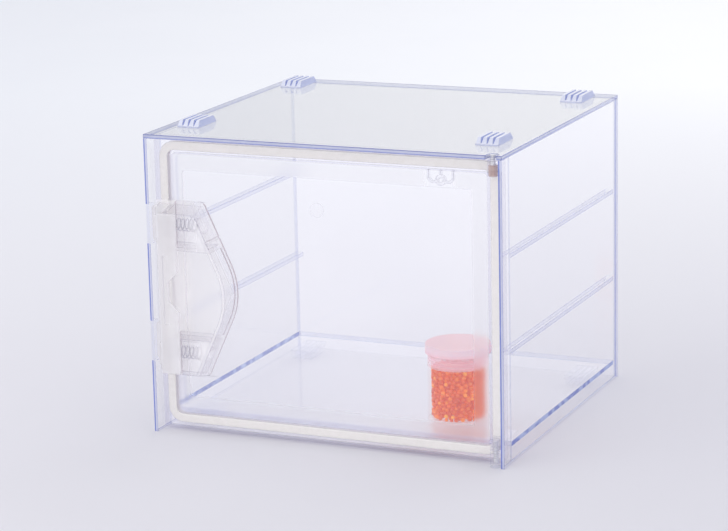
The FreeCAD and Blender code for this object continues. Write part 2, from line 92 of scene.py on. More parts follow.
class Graph:
    """A node material being built. Every method returns an output socket."""

    def __init__(self, name):
        self.material = bpy.data.materials.new(name)
        self.material.use_nodes = True
        self.tree = self.material.node_tree
        self.tree.nodes.clear()

    def add(self, kind, values=(), out=0, **settings):
        """A node with settings, and values linked or written to its inputs by name or number."""
        node = self.tree.nodes.new(kind)
        for key, value in settings.items():
            setattr(node, key, value)
        for key, value in dict(values).items():
            if isinstance(value, bpy.types.NodeSocket):
                self.tree.links.new(value, node.inputs[key])
            else:
                node.inputs[key].default_value = value
        return node.outputs[out]

    def math(self, operation, a, b=0.0, clamp=False):
        return self.add("ShaderNodeMath", {0: a, 1: b}, operation=operation, use_clamp=clamp)

    def place(self):
        """The point's place in the row frame at rest, whatever the pose."""
        return self.add("ShaderNodeTexCoord", out="Object")

    def normal(self):
        return self.add("ShaderNodeTexCoord", out="Normal")

    def part(self, vector, axis):
        return self.add("ShaderNodeSeparateXYZ", {0: vector}, out=axis)

    def place_along(self, axis):
        return self.part(self.place(), axis)

    def normal_along(self, axis):
        return self.part(self.normal(), axis)

    def facing_axis(self, axis):
        """1 where the surface looks along an axis or against it, and 0 elsewhere."""
        return self.math("GREATER_THAN", self.math("ABSOLUTE", self.normal_along(axis)), 0.5)

    def noise(self, scale, detail=2.0, stretch=(1, 1, 1)):
        keys = {"Vector": self.place(), "Scale": stretch}
        placed = self.add("ShaderNodeMapping", keys, vector_type="POINT")
        return self.add("ShaderNodeTexNoise", {"Vector": placed, "Scale": scale, "Detail": detail})

    def streaks(self, scale, detail=2.0, stretch=(1, 1, 1), least=0.0, most=1.0):
        """Noise spread over a whole range, as patches or, if stretched, as streaks."""
        return self.span(self.noise(scale, detail, stretch), 0.3, 0.7, least, most)

    def span(self, value, low, high, to_low=0.0, to_high=1.0):
        """value moved from one range to another and kept inside it."""
        keys = {0: value, 1: low, 2: high, 3: to_low, 4: to_high}
        return self.add("ShaderNodeMapRange", keys, clamp=True)

    def ramp(self, value, stops):
        """Colours at places from 0 to 1."""
        node = self.tree.nodes.new("ShaderNodeValToRGB")
        elements = node.color_ramp.elements
        while len(elements) < len(stops):
            elements.new(0.5)
        for element, (place, colour) in zip(elements, stops):
            element.position = place
            element.color = colour
        self.tree.links.new(value, node.inputs[0])
        return node.outputs[0]

    def blend_colours(self, share, a, b):
        keys = {"Factor": share, 6: a, 7: b}
        return self.add("ShaderNodeMix", keys, out=2, data_type="RGBA")

    def bump(self, height, distance):
        return self.add("ShaderNodeBump", {"Height": height, "Distance": distance})

    def see_through(self, colour):
        return self.add("ShaderNodeBsdfTransparent", {"Color": colour})

    def mixed(self, share, a, b):
        return self.add("ShaderNodeMixShader", {0: share, 1: a, 2: b})

    def finish(self, shader):
        node = self.tree.nodes.new("ShaderNodeOutputMaterial")
        self.tree.links.new(shader, node.inputs[0])
        return self.material

    def polished(self, body, roughness=0.04):
        """body under the mirror that a polished clear surface has on its outer side."""
        fresnel = self.add("ShaderNodeFresnel", {"IOR": GLOSS_IOR})
        outside = self.math("SUBTRACT", 1.0, self.add("ShaderNodeNewGeometry", out="Backfacing"),
                            clamp=True)
        scuff = self.span(self.noise(90, 3), 0.35, 0.7, roughness, roughness + SCUFF)
        mirror = self.add("ShaderNodeBsdfGlossy", {"Color": (1, 1, 1, 1), "Roughness": scuff})
        return self.mixed(self.math("MULTIPLY", fresnel, outside), body, mirror)


def rgb(red, green, blue):
    """A colour as the eye reads it, from 0 to 255, as scene light."""
    out = []
    for c in (red, green, blue):
        c = c / 255
        out.append(c / 12.92 if c <= 0.04045 else ((c + 0.055) / 1.055) ** 2.4)
    return (*out, 1)


# --- Materials ----------------------------------------------------------------------------------

GLOSS_IOR = 1.49
SCUFF = 0.06
EDGE_BLUE = rgb(158, 168, 222)
EDGE_DEEP = rgb(112, 124, 204)
EDGE_GREY = rgb(208, 212, 231)
EDGE_DUSK = rgb(120, 128, 184)
CLEAR = (0.994, 0.994, 0.999, 1)
BEVEL_CLEAR = (0.97, 0.97, 0.99, 1)
WHITE = rgb(252, 252, 255)
# How cloudy the large sheets are, and how brightly that cloud glows as painted light.
HAZE = 0.025
GLOW = 1.2
# The heights of the left wall's slots and tabs, and how far back they reach from the grip's face.
TAB_SLOTS = ((58.8 * MM, 92.2 * MM), (154.8 * MM, 187.2 * MM))
TAB_DEPTH = (26 * MM, 32 * MM)
# Bands of painted shade and reflection across a side wall's cut edge, from its left to its right,
# and up the top panel's edge.
WALL_HALF = 1.5 * MM
WALL_STOPS = [(0.0, rgb(116, 134, 214)), (0.42, rgb(124, 140, 216)),
              (0.5, rgb(226, 229, 244)), (1.0, rgb(214, 219, 242))]
TOP_STOPS = [(0.0, EDGE_BLUE), (0.28, EDGE_BLUE), (0.42, EDGE_GREY), (0.72, EDGE_GREY),
             (0.86, EDGE_DUSK), (1.0, EDGE_DUSK)]
# The grip's strap leans by this angle, and covers the door up to this reach from its left end.
GRIP_LEAN = math.radians(25)
GRIP_REACH = 46 * MM
GRIP_HALF_HEIGHT = 70 * MM


def clear_skin(g, tint, haze, glow=0.0):
    """A polished clear face: tinted, faintly hazy, with a sharp reflection, and given glow, a
    painted glow in its haze.
    """
    milky = milk(g, rgb(240, 238, 241), glow)
    patches = g.streaks(14, least=haze * 0.75, most=haze)
    return g.polished(g.mixed(patches, g.see_through(tint), milky))


def milk(g, colour, glow=0.12):
    """Slightly cloudy plastic, whose glow is painted light standing in for the light scattered
    inside it.
    """
    keys = {"Base Color": colour, "Roughness": 0.5, "Emission Color": colour}
    keys["Emission Strength"] = glow
    return g.add("ShaderNodeBsdfPrincipled", keys)


def cut_edge(g, colour, cover):
    """A sawn and polished edge, with the blue light that it gathers from inside the plate painted
    into its colour.
    """
    tone = g.blend_colours(g.streaks(70, least=0.85), EDGE_DEEP, colour)
    body = g.add("ShaderNodeBsdfPrincipled", {"Base Color": tone, "Roughness": 0.22})
    tint = g.blend_colours(g.span(cover, 0.0, 0.6), CLEAR, rgb(226, 230, 250))
    return g.mixed(cover, g.see_through(tint), body)


def beside_tabs(g):
    """1 on the stretches of the left wall that take the latch tabs, and 0 elsewhere."""
    height = g.place_along("Z")
    spans = []
    for low, high in TAB_SLOTS:
        up = g.span(height, low, low + 0.5 * MM)
        down = g.span(height, high - 0.5 * MM, high, 1.0, 0.0)
        spans.append(g.math("MULTIPLY", up, down))
    front = cad_box[0].y
    near = g.span(g.place_along("Y"), front + TAB_DEPTH[0], front + TAB_DEPTH[1], 1.0, 0.0)
    return g.math("MULTIPLY", g.math("MAXIMUM", *spans), near)


def depth_fade(g, fade):
    """1 at the front of the box, falling to fade at its back."""
    return g.span(g.place_along("Y"), cad_box[0].y + 30 * MM, cad_box[1].y, 1.0, fade)


def plate(name, axis, stops=None, cover=0.8, fade=0.45, glow=0.0, slots=False, dashes=False,
          tint=CLEAR):
    """Clear sheet whose broad faces look along axis, its edges in painted light and shade, banded
    by height if given stops.
    """
    g = Graph(name)
    colour = EDGE_BLUE
    if stops:
        low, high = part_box("top_panel")
        colour = g.ramp(g.span(g.place_along("Z"), low.z, high.z), stops)
    elif axis == "X":
        side = g.math("SIGN", g.place_along("X"))
        middle = g.math("MULTIPLY", side, cad_box[1].x - WALL_HALF)
        across = g.math("SUBTRACT", g.place_along("X"), middle)
        colour = g.ramp(g.span(across, -WALL_HALF, WALL_HALF), WALL_STOPS)
    if dashes:
        dash = g.span(g.noise(110, 0), 0.4, 0.6)
        colour = g.blend_colours(dash, rgb(158, 178, 232), rgb(50, 86, 194))
    below = g.span(g.normal_along("Z"), -0.9, -0.5, 0.2, 1.0)
    glued = g.span(g.normal_along("Z"), 0.5, 0.9, 1.0, 0.05)
    strength = g.math("MULTIPLY", g.math("MULTIPLY", below, glued), cover)
    strength = g.math("MULTIPLY", strength, depth_fade(g, fade))
    if dashes:
        # Painted light: the end edge is bold where it looks right and faint where it looks left.
        rightward = g.normal_along("X")
        left_end = g.span(rightward, -0.7, -0.3, 0.2, 0.0)
        right_end = g.span(rightward, 0.3, 0.7, 0.15, 1.0)
        strength = g.math("MULTIPLY", strength, g.math("MAXIMUM", left_end, right_end))
    if slots:
        strength = g.math("MULTIPLY", strength, g.span(beside_tabs(g), 0, 1, 1.0, 0.08))
    edge = cut_edge(g, colour, strength)
    broad = clear_skin(g, tint, HAZE if glow else 0.02, glow)
    return g.finish(g.mixed(g.facing_axis(axis), edge, broad))


def moulding(name, rim, haze, glow=0.12, cloud=None):
    """A clear injection moulding, cloudy by haze, with a painted glow and painted shade at its
    outline. With cloud it is the grip, which is cloudier beyond that x and has painted shade lines
    along its borders."""
    g = Graph(name)
    # Painted shade: the see-through tint turns to rim where the surface turns away from view.
    turn = g.add("ShaderNodeLayerWeight", {"Blend": 0.4}, out="Facing")
    colour = g.blend_colours(g.span(turn, 0.3, 0.95), CLEAR, rim)
    streaks = g.streaks(60, stretch=(1, 1, 0.15))
    body = milk(g, g.blend_colours(streaks, rim, rgb(240, 239, 241)), glow)
    if cloud is not None:
        front = g.span(g.normal_along("Y"), -0.7, -0.4, 1.0, 0.0)
        beyond = g.span(g.place_along("X"), cloud, cloud + 14 * MM)
        haze = g.span(g.math("MULTIPLY", front, beyond), 0, 1, haze, 0.36)
    body = g.mixed(haze, g.see_through(colour), body)
    if cloud is not None:
        body = grip_borders(g, body)
    return g.finish(g.polished(body, 0.05))


def grip_borders(g, body):
    """body with painted shade lines along the strap's outer side: brownish at its back, grey at its
    front.
    """
    low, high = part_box("handle_grip")
    outer = g.span(g.normal_along("X"), 0.5, 0.7)
    depth = g.place_along("Y")
    back = g.math("MULTIPLY", outer, g.span(depth, high.y - 2.6 * MM, high.y - 1.8 * MM))
    front = g.span(depth, low.y + 0.8 * MM, low.y + 1.4 * MM, 1.0, 0.0)
    front = g.math("MULTIPLY", outer, front)
    body = g.mixed(g.span(back, 0, 1, 0.0, 0.7), body, milk(g, rgb(168, 146, 156), 0.08))
    return g.mixed(g.span(front, 0, 1, 0.0, 0.45), body, milk(g, rgb(204, 201, 212), 0.08))


def bush(name, colour, second, cover, tint=WHITE):
    """A turned bearing sleeve of translucent plastic."""
    g = Graph(name)
    tone = g.blend_colours(g.streaks(900, stretch=(0.1, 0.1, 1)), colour, second)
    body = g.add("ShaderNodeBsdfPrincipled", {"Base Color": tone, "Roughness": 0.3})
    return g.finish(g.mixed(cover, g.see_through(tint), body))


def jar_material():
    """The clear jar. Its neck is thick with moulded rings and scatters the light, painted as a pink
    glow from the gel.
    """
    low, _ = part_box("jar_body")
    g = Graph("jar_clear")
    neck = g.span(g.place_along("Z"), low.z + 43.5 * MM, low.z + 45 * MM)
    milky = milk(g, rgb(244, 206, 220), 0.2)
    body = g.mixed(g.span(neck, 0, 1, 0.02, 0.42), g.see_through(rgb(255, 252, 251)), milky)
    return g.finish(g.polished(body, 0.05))


def solid(name, colour, second, roughness, scale=400, **extra):
    """An opaque or barely translucent material with a fine grain."""
    g = Graph(name)
    speck = g.streaks(scale, 4)
    keys = {
        "Base Color": g.blend_colours(speck, colour, second),
        "Roughness": g.span(speck, 0, 1, roughness, roughness + 0.1),
        "Normal": g.bump(speck, 0.04 * MM),
    }
    return g.finish(g.add("ShaderNodeBsdfPrincipled", {**keys, **extra}))


def box_mask(g, low, high, soft):
    """1 inside a rectangle of the xz plane and 0 outside it, softened at its outline."""
    sides = []
    for axis, least, most in zip("XZ", low, high):
        value = g.place_along(axis)
        up = g.span(value, least - soft, least + soft)
        down = g.span(value, most - soft, most + soft, 1.0, 0.0)
        sides.append(g.math("MULTIPLY", up, down))
    return g.math("MULTIPLY", *sides)


def behind_grip(g):
    """1 where the door lies behind the grip's strap and arms, and 0 elsewhere."""
    low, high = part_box("handle_grip")
    off = g.math("ABSOLUTE", g.math("SUBTRACT", g.place_along("Z"), (low.z + high.z) / 2))
    lean = g.math("MULTIPLY", off, -math.tan(GRIP_LEAN))
    reach = g.math("SUBTRACT", g.place_along("X"), lean)
    right = low.x + GRIP_REACH
    across = g.span(reach, right, right + 2 * MM, 1.0, 0.0)
    tall = g.span(off, GRIP_HALF_HEIGHT, GRIP_HALF_HEIGHT + 1 * MM, 1.0, 0.0)
    return g.math("MULTIPLY", across, tall)


def door_material():
    """A polished window and a finely matt border round it, on the door's front face. It is
    matt behind the grip too, and cloudier there towards the grip's seat."""
    low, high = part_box("door_panel")
    g = Graph("door_clear")
    window = box_mask(g, (low.x + 24 * MM, low.z + 27.5 * MM),
                      (high.x - 24 * MM, high.z - 24.5 * MM), 0.2 * MM)
    lip = box_mask(g, (low.x + 12 * MM, low.z + 14 * MM),
                   (high.x - 12 * MM, high.z - 12 * MM), 0.2 * MM)
    border = g.math("SUBTRACT", lip, window, clamp=True)
    behind = behind_grip(g)
    textured = g.math("MAXIMUM", border, behind)
    front = g.span(g.normal_along("Y"), -0.6, -0.4, 1.0, 0.0)
    hook_low, hook_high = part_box("card_hook")
    hook = box_mask(g, (hook_low.x - 2 * MM, hook_low.z - 2 * MM),
                    (hook_high.x + 2 * MM, hook_high.z + 2 * MM), 2 * MM)
    off_hook = g.math("SUBTRACT", 1.0, hook)
    frosted = g.math("MULTIPLY", g.math("MULTIPLY", textured, front), off_hook)
    keys = {"Color": rgb(255, 255, 255), "Roughness": 0.6, "IOR": 1.06}
    frost = g.mixed(0.2, g.add("ShaderNodeBsdfRefraction", keys), g.see_through(WHITE))
    seat = g.span(g.place_along("X"), low.x + 24 * MM, low.x + 30 * MM, 0.6, 0.3)
    cloud = g.span(behind, 0, 1, 0.08, seat)
    # The cloud behind the grip has a faint painted glow.
    matt = g.mixed(cloud, frost, milk(g, rgb(240, 238, 238), 0.18))
    broad = g.mixed(frosted, clear_skin(g, CLEAR, HAZE, GLOW), matt)
    side = g.polished(g.see_through(rgb(240, 239, 245)), 0.06)
    return g.finish(g.mixed(g.facing_axis("Y"), side, broad))


def block_material(name, cover):
    """Blue-tinted moulded ribs, with painted light: a white highlight on their crests, paler in
    front, and painted shade bluer down their sides.
    """
    g = Graph(name)
    up = g.span(g.normal_along("Z"), 0.25, 0.9)
    front = g.span(g.math("MULTIPLY", g.normal_along("Y"), -1), 0.3, 0.8)
    # Painted light and shade by facing: paler on front faces, bluer on the sides.
    painted_flank_shade = g.blend_colours(front, rgb(186, 194, 228), rgb(212, 217, 238))
    colour = g.blend_colours(up, painted_flank_shade, rgb(246, 248, 255))
    shade = g.mixed(cover, g.see_through(rgb(232, 235, 251)), milk(g, colour, 0.1))
    return g.finish(g.polished(shade, 0.08))


def rail_material(node, cover):
    """A shelf rail: painted shade in blue along the borders of its right upright face, with a
    painted highlight between them, and clear elsewhere.
    """
    low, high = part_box(node)
    g = Graph(node + "_clear")
    height = g.span(g.place_along("Z"), low.z, high.z)
    colour = g.ramp(height, [(0.0, EDGE_DEEP), (0.18, EDGE_DEEP), (0.24, WHITE), (0.74, WHITE),
                             (0.8, EDGE_DEEP), (1.0, EDGE_DEEP)])
    side = cut_edge(g, colour, cover)
    flat = clear_skin(g, CLEAR, 0.01)
    return g.finish(g.mixed(g.math("GREATER_THAN", g.normal_along("X"), 0.5), flat, side))


def metal(name, colour, roughness, shade=0.6):
    """Drawn steel, with streaks from its colour to a darker shade of it."""
    g = Graph(name)
    drawn = g.streaks(1400, 3, (0.15, 1, 1))
    dark = (*[shade * c for c in colour[:3]], 1)
    keys = {
        "Base Color": g.blend_colours(drawn, colour, dark),
        "Metallic": 1.0,
        "Roughness": g.span(drawn, 0, 1, roughness, roughness + 0.15),
    }
    return g.finish(g.add("ShaderNodeBsdfPrincipled", keys))


def gel_material():
    """Translucent orange beads, each with its own tone, and a painted glow."""
    g = Graph("gel_beads")
    tone = g.add("ShaderNodeAttribute", out="Fac", attribute_name="tone")
    colour = g.ramp(tone, [(0.0, rgb(214, 78, 4)), (0.45, rgb(230, 104, 10)),
                           (0.8, rgb(242, 138, 24)), (1.0, rgb(255, 198, 76))])
    keys = {
        "Base Color": colour,
        "Roughness": 0.16,
        "Subsurface Weight": 0.35,
        "Subsurface Radius": (0.004, 0.0012, 0.0005),
        "Subsurface Scale": 0.6,
        "Coat Weight": 0.15,
        "Emission Color": colour,
        "Emission Strength": 0.2,
    }
    return g.finish(g.add("ShaderNodeBsdfPrincipled", keys))


def cap_material():
    """Translucent white plastic with the gel's pink light painted on, redder towards the gel below
    it, and a painted glow.
    """
    low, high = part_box("jar_cap")
    g = Graph("cap_pink")
    up = g.span(g.place_along("Z"), low.z, high.z)
    colour = g.ramp(up, [(0.0, rgb(236, 196, 206)), (0.4, rgb(236, 214, 224)),
                         (0.92, rgb(234, 212, 222)), (1.0, rgb(233, 200, 208))])
    keys = {
        "Base Color": colour,
        "Roughness": g.streaks(300, 3, least=0.32, most=0.45),
        "Subsurface Weight": 0.4,
        "Subsurface Radius": (0.006, 0.003, 0.002),
        "Subsurface Scale": 1.0,
        "Normal": g.bump(g.noise(500, 3), 0.03 * MM),
        "Emission Color": colour,
        "Emission Strength": 0.14,
    }
    body = g.add("ShaderNodeBsdfPrincipled", keys)
    return g.finish(g.mixed(0.14, body, g.see_through(rgb(255, 214, 208))))


def bevel_line(g, colour, strength):
    """A rounded edge that shows colour by strength and is clear for the rest."""
    body = g.add("ShaderNodeBsdfPrincipled", {"Base Color": colour, "Roughness": 0.15})
    return g.finish(g.polished(g.mixed(strength, g.see_through(BEVEL_CLEAR), body), 0.05))


def edge_line(name, dark, light, cover, axis="Z", sign=1, fade=1.0, slots=False):
    """The line that a rounded edge of clear plastic draws, as painted light: a painted highlight
    where it looks along axis and painted shade elsewhere, fainter where it looks down.
    """
    g = Graph(name)
    up = g.span(g.math("MULTIPLY", g.normal_along(axis), sign), 0.0, 0.7)
    strength = g.span(g.normal_along("Z"), -0.8, -0.2, 0.3 * cover, cover)
    if fade < 1:
        strength = g.math("MULTIPLY", strength, depth_fade(g, fade))
    if slots:
        strength = g.math("MULTIPLY", strength, g.span(beside_tabs(g), 0, 1, 1.0, 0.15))
    return bevel_line(g, g.blend_colours(up, dark, light), strength)


def strap_line():
    """Painted shade lines of the grip: brownish on its outer back edges, grey on its inner front
    edges.
    """
    g = Graph("grip_line")
    slant = g.math("ADD", g.normal_along("X"), g.normal_along("Y"))
    outer_back = g.math("GREATER_THAN", slant, 0)
    colour = g.blend_colours(outer_back, rgb(190, 188, 204), rgb(160, 136, 146))
    return bevel_line(g, colour, g.span(g.math("ABSOLUTE", slant), 0.6, 1.2, 0.1, 0.75))


# --- Meshes -------------------------------------------------------------------------------------


def piece(name, mesh, material, body, stands_for):
    """A finished mesh as a piece of the object, which rides on body and hides a CAD node."""
    obj = bpy.data.objects.new(name, mesh)
    bpy.context.scene.collection.objects.link(obj)
    mesh.materials.clear()
    mesh.materials.append(material)
    for polygon in mesh.polygons:
        polygon.use_smooth = True
        polygon.material_index = 0
    if body:
        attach(obj, body)
    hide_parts(stands_for)
    return obj


def to_mesh(name, bm):
    mesh = bpy.data.meshes.new(name)
    bm.to_mesh(mesh)
    bm.free()
    return mesh


def loft(rings, closed=False, caps=False):
    """A surface through rings of points, with the last ring joined to the first if closed."""
    bm = bmesh.new()
    rows = [[bm.verts.new(p) for p in ring] for ring in rings]
    count = len(rows[0])
    for low, high in zip(rows, rows[1:] + rows[:1] if closed else rows[1:]):
        for i in range(count):
            j = (i + 1) % count
            bm.faces.new((low[i], low[j], high[j], high[i]))
    if caps:
        bm.faces.new(list(reversed(rows[0])))
        bm.faces.new(rows[-1])
    bmesh.ops.recalc_face_normals(bm, faces=bm.faces)
    return bm


# Springs

SPRING_TURNS = 7
STEPS_A_TURN = 40
WIRE_SIDES = 12
WIRE_RADIUS = 0.45 * MM
COIL_RADIUS = 4.75 * MM


def spring(node):
    """A compression spring: a round wire wound along x, its end turns closed up."""
    low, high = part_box(node)
    centre = Vector((0, (low.y + high.y) / 2, (low.z + high.z) / 2))
    first = low.x + WIRE_RADIUS
    squeeze = 2 * WIRE_RADIUS
    run = high.x - low.x - 2 * WIRE_RADIUS - 2 * squeeze
    total = SPRING_TURNS + 2
    rings = []
    for i in range(total * STEPS_A_TURN + 1):
        turn = i / STEPS_A_TURN
        closed_start = min(turn, 1.0)
        closed_end = max(turn - (total - 1), 0.0)
        open_turns = turn - closed_start - closed_end
        x = first + squeeze * (closed_start + closed_end) + run * open_turns / SPRING_TURNS
        angle = 2 * math.pi * turn
        out = Vector((0, math.cos(angle), math.sin(angle)))
        middle = centre + out * COIL_RADIUS + Vector((x, 0, 0))
        ring = []
        for k in range(WIRE_SIDES):
            around = 2 * math.pi * k / WIRE_SIDES
            along = Vector((WIRE_RADIUS * math.sin(around), 0, 0))
            ring.append(middle + out * WIRE_RADIUS * math.cos(around) + along)
        rings.append(ring)
    return to_mesh(node, loft(rings, caps=True))


# Gasket

GASKET_CORNER_STEPS = 10
GASKET_HALF_WIDTH = 3.3 * MM
GASKET_CORNER = 9 * MM
BASE_STEPS = 8
LOBE_STEPS = 16


def gasket():
    """A bulb seal with two rounded lobes and a groove between them, moulded in one ring."""
    low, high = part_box("door_gasket")
    half, corner = GASKET_HALF_WIDTH, GASKET_CORNER
    depth = high.y - low.y
    profile = []
    for k in range(BASE_STEPS + 1):
        profile.append((-half + 2 * half * k / BASE_STEPS, 0.0))
    for k in range(LOBE_STEPS + 1):
        share = k / LOBE_STEPS
        across = half - 2 * half * share
        lobes = 0.9 + 0.1 * abs(math.sin(2 * math.pi * (share - 0.5))) ** 0.6
        shoulder = 0.55 + 0.45 * math.sqrt(min(1.0, 6 * min(share, 1 - share)))
        profile.append((across, depth * lobes * shoulder))
    left, right = low.x + half, high.x - half
    bottom, top = low.z + half, high.z - half
    path = []
    for cx, cz, start in (
        (right - corner, top - corner, 0),
        (left + corner, top - corner, 90),
        (left + corner, bottom + corner, 180),
        (right - corner, bottom + corner, 270),
    ):
        for k in range(GASKET_CORNER_STEPS + 1):
            angle = math.radians(start + 90 * k / GASKET_CORNER_STEPS)
            out = Vector((math.cos(angle), 0, math.sin(angle)))
            path.append((Vector((cx, low.y, cz)) + out * corner, out))
    rings = []
    for at, out in path:
        rings.append([at + out * across + Vector((0, deep, 0)) for across, deep in profile])
    return to_mesh("door_gasket_seal", loft(rings, closed=True))


# Silica gel

BEAD_SEED = 11
BEAD_RADII = (1.35, 2.05)
BEAD_TRIES = 7
MOST_MISSES = 260


def bead_places(radius, bottom, top):
    """Beads dropped into a cup one by one, each resting as low as its neighbours let it."""
    rng = random.Random(BEAD_SEED)
    cell = 2 * BEAD_RADII[1] * MM
    grid = {}
    placed = []

    def near(x, y):
        cx, cy = int(x // cell), int(y // cell)
        for dx in (-1, 0, 1):
            for dy in (-1, 0, 1):
                yield from grid.get((cx + dx, cy + dy), ())

    misses = 0
    while misses < MOST_MISSES:
        r = rng.uniform(*BEAD_RADII) * MM
        best = None
        for _ in range(BEAD_TRIES):
            turn = rng.uniform(0, 2 * math.pi)
            reach = (radius - r) * (math.sqrt(rng.random()) if rng.random() < 0.6 else 1.0)
            x, y = reach * math.cos(turn), reach * math.sin(turn)
            z = bottom + r
            for bx, by, bz, br in near(x, y):
                gap = (r + br) ** 2 - (x - bx) ** 2 - (y - by) ** 2
                if gap > 0:
                    z = max(z, bz + 0.96 * math.sqrt(gap))
            if best is None or z < best[2]:
                best = (x, y, z, r)
        if best[2] + r > top:
            misses += 1
            continue
        grid.setdefault((int(best[0] // cell), int(best[1] // cell)), []).append(best)
        placed.append(best)
    return placed


def gel_beads():
    """Every bead of the bed as one mesh, with a tone for each bead."""
    low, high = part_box("silica_gel")
    centre = (low + high) / 2
    radius = (high.x - low.x) / 2
    rng = random.Random(BEAD_SEED + 1)
    unit = bmesh.new()
    bmesh.ops.create_icosphere(unit, subdivisions=2, radius=1)
    shape = [v.co.copy() for v in unit.verts]
    faces = [[v.index for v in f.verts] for f in unit.faces]
    unit.free()
    points, polygons, tones = [], [], []
    for x, y, z, r in bead_places(radius, low.z, high.z):
        tone = min(1.0, max(0.0, rng.gauss(0.42, 0.22)))
        first = len(points)
        at = Vector((centre.x + x, centre.y + y, z))
        points += [at + p * r for p in shape]
        polygons += [[first + i for i in f] for f in faces]
        tones += [tone] * len(shape)
    mesh = bpy.data.meshes.new("gel_beads")
    mesh.from_pydata(points, [], polygons)
    mesh.attributes.new("tone", "FLOAT", "POINT").data.foreach_set("value", tones)
    return mesh


# --- The CAD's own shapes, with softened edges ---------------------------------------------------

SHARP = math.radians(30)
FLAT = math.radians(0.05)
WELD = 0.002 * MM
GLUE = 0.04 * MM
BEVEL_STEPS = 2


def softened(node, width):
    """A node's shape with clean flat faces and rounded edges, which take material 1. It is
    smaller than the node by a glue line on each side, so that no two faces coincide."""
    bm = bmesh.new()
    bm.from_mesh(frame["nodes"][node].data)
    bmesh.ops.remove_doubles(bm, verts=bm.verts, dist=WELD)
    bmesh.ops.dissolve_limit(bm, angle_limit=FLAT, verts=bm.verts, edges=bm.edges)
    bmesh.ops.connect_verts_concave(bm, faces=bm.faces)
    edges = [e for e in bm.edges if len(e.link_faces) == 2 and e.calc_face_angle(0) > SHARP]
    bmesh.ops.bevel(
        bm,
        geom=edges,
        offset=width,
        offset_type="OFFSET",
        segments=BEVEL_STEPS,
        profile=0.5,
        affect="EDGES",
        clamp_overlap=False,
        material=1,
    )
    bmesh.ops.connect_verts_concave(bm, faces=bm.faces)
    bmesh.ops.recalc_face_normals(bm, faces=bm.faces)
    low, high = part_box(node)
    for vert in bm.verts:
        for axis in range(3):
            share = (vert.co[axis] - low[axis]) / (high[axis] - low[axis])
            vert.co[axis] += GLUE * (1 - 2 * share)
    return to_mesh(node + "_soft", bm)


def dress(nodes, material, line, width=0.25 * MM):
    """Shows nodes with softened edges: material on their faces and line along their edges."""
    for node in nodes:
        mesh = softened(node, width)
        marks = [p.material_index for p in mesh.polygons]
        body = frame["nodes"][node]["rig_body"]
        piece(node + "_body", mesh, material, body, node)
        mesh.materials.append(line)
        for polygon, mark in zip(mesh.polygons, marks):
            polygon.material_index = 1 if mark == 1 else 0
        sharpen(mesh)


def dress_plain(nodes, material):
    """Shows nodes with softened edges in one material."""
    dress(nodes, material, material)


def sharpen(mesh):
    """Splits the shading at sharp bends and where flat faces meet their softened edges."""
    bm = bmesh.new()
    bm.from_mesh(mesh)
    for edge in bm.edges:
        kinds = {face.material_index for face in edge.link_faces}
        edge.smooth = len(kinds) == 1 and edge.calc_face_angle(0) < SHARP
    bm.to_mesh(mesh)
    bm.free()


grip_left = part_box("handle_grip")[0].x
clear_grip = moulding("grip_clear", rgb(240, 238, 240), 0.05, 0.24, grip_left + 18 * MM)
clear_slider = moulding("slider_clear", rgb(227, 224, 225), 0.42, 0.14)
clear_bracket = moulding("bracket_clear", rgb(238, 239, 246), 0.05)
clear_foot = moulding("foot_clear", rgb(244, 245, 250), 0.06, 0.2)
blue_line = edge_line("sheet_line", rgb(112, 126, 206), rgb(170, 178, 226), 0.6)
left_line = edge_line("left_line", rgb(112, 126, 206), rgb(170, 178, 226), 0.6,
                      fade=0.2, slots=True)
top_line = edge_line("top_line", rgb(92, 102, 172), rgb(136, 144, 200), 0.85)
foot_line = edge_line("foot_line", rgb(168, 172, 202), WHITE, 0.5)
pale_line = edge_line("pale_line", rgb(206, 212, 236), WHITE, 0.25)
grip_line = strap_line()
slider_line = edge_line("slider_line", rgb(214, 212, 218), WHITE, 0.6, "Y", -1)
bracket_line = edge_line("bracket_line", rgb(172, 174, 192), WHITE, 0.35)
door_line = edge_line("door_line", rgb(222, 222, 230), WHITE, 0.3, "Y", -1)
hook_line = edge_line("hook_line", rgb(186, 185, 198), WHITE, 0.6)
block_line = edge_line("block_line", rgb(172, 180, 218), rgb(252, 253, 255), 0.8)
# The jar's edge lines are painted pink with the gel's light.
jar_line = edge_line("jar_line", rgb(240, 160, 168), WHITE, 0.5)

dress(["left_wall"], plate("left_sheet", "X", fade=0.2, slots=True), left_line)
dress(["right_wall"], plate("right_sheet", "X", fade=0.7), blue_line)
dress(["back_panel", "sealing_frame"], plate("upright_sheet", "Y", cover=0.2, glow=GLOW),
      pale_line)
dress(["floor_panel"], plate("floor_sheet", "Z", cover=1.0, fade=0.95, glow=GLOW, dashes=True),
      blue_line)
# The top sheet's faint grey tint is painted shade for the darker surroundings that it reflects.
dress(["top_panel"], plate("top_sheet", "Z", TOP_STOPS, tint=rgb(247, 247, 246)), top_line,
      0.4 * MM)
for side, cover in (("left", 0.25), ("right", 0.42)):
    for level in ("lower", "upper"):
        node = "shelf_rail_" + side + "_" + level
        dress([node], rail_material(node, cover), pale_line, 0.3 * MM)
dress([n for n in frame["nodes"] if n.startswith("stacking_block")],
      block_material("block_blue", 0.75), block_line)
dress([n for n in frame["nodes"] if n.startswith("underside_block")], clear_foot, foot_line)
dress(["hinge_cap_top", "hinge_bracket_bottom"], clear_bracket, bracket_line)
dress_plain(["hinge_pin_top", "hinge_pin_bottom"], metal("pin_steel", rgb(252, 252, 254), 0.3))
dress(["door_panel"], door_material(), door_line)
dress(["card_hook"], clear_bracket, hook_line, 0.3 * MM)
dress(["handle_grip"], clear_grip, grip_line, 0.4 * MM)
dress(["latch_slider"], clear_slider, slider_line)
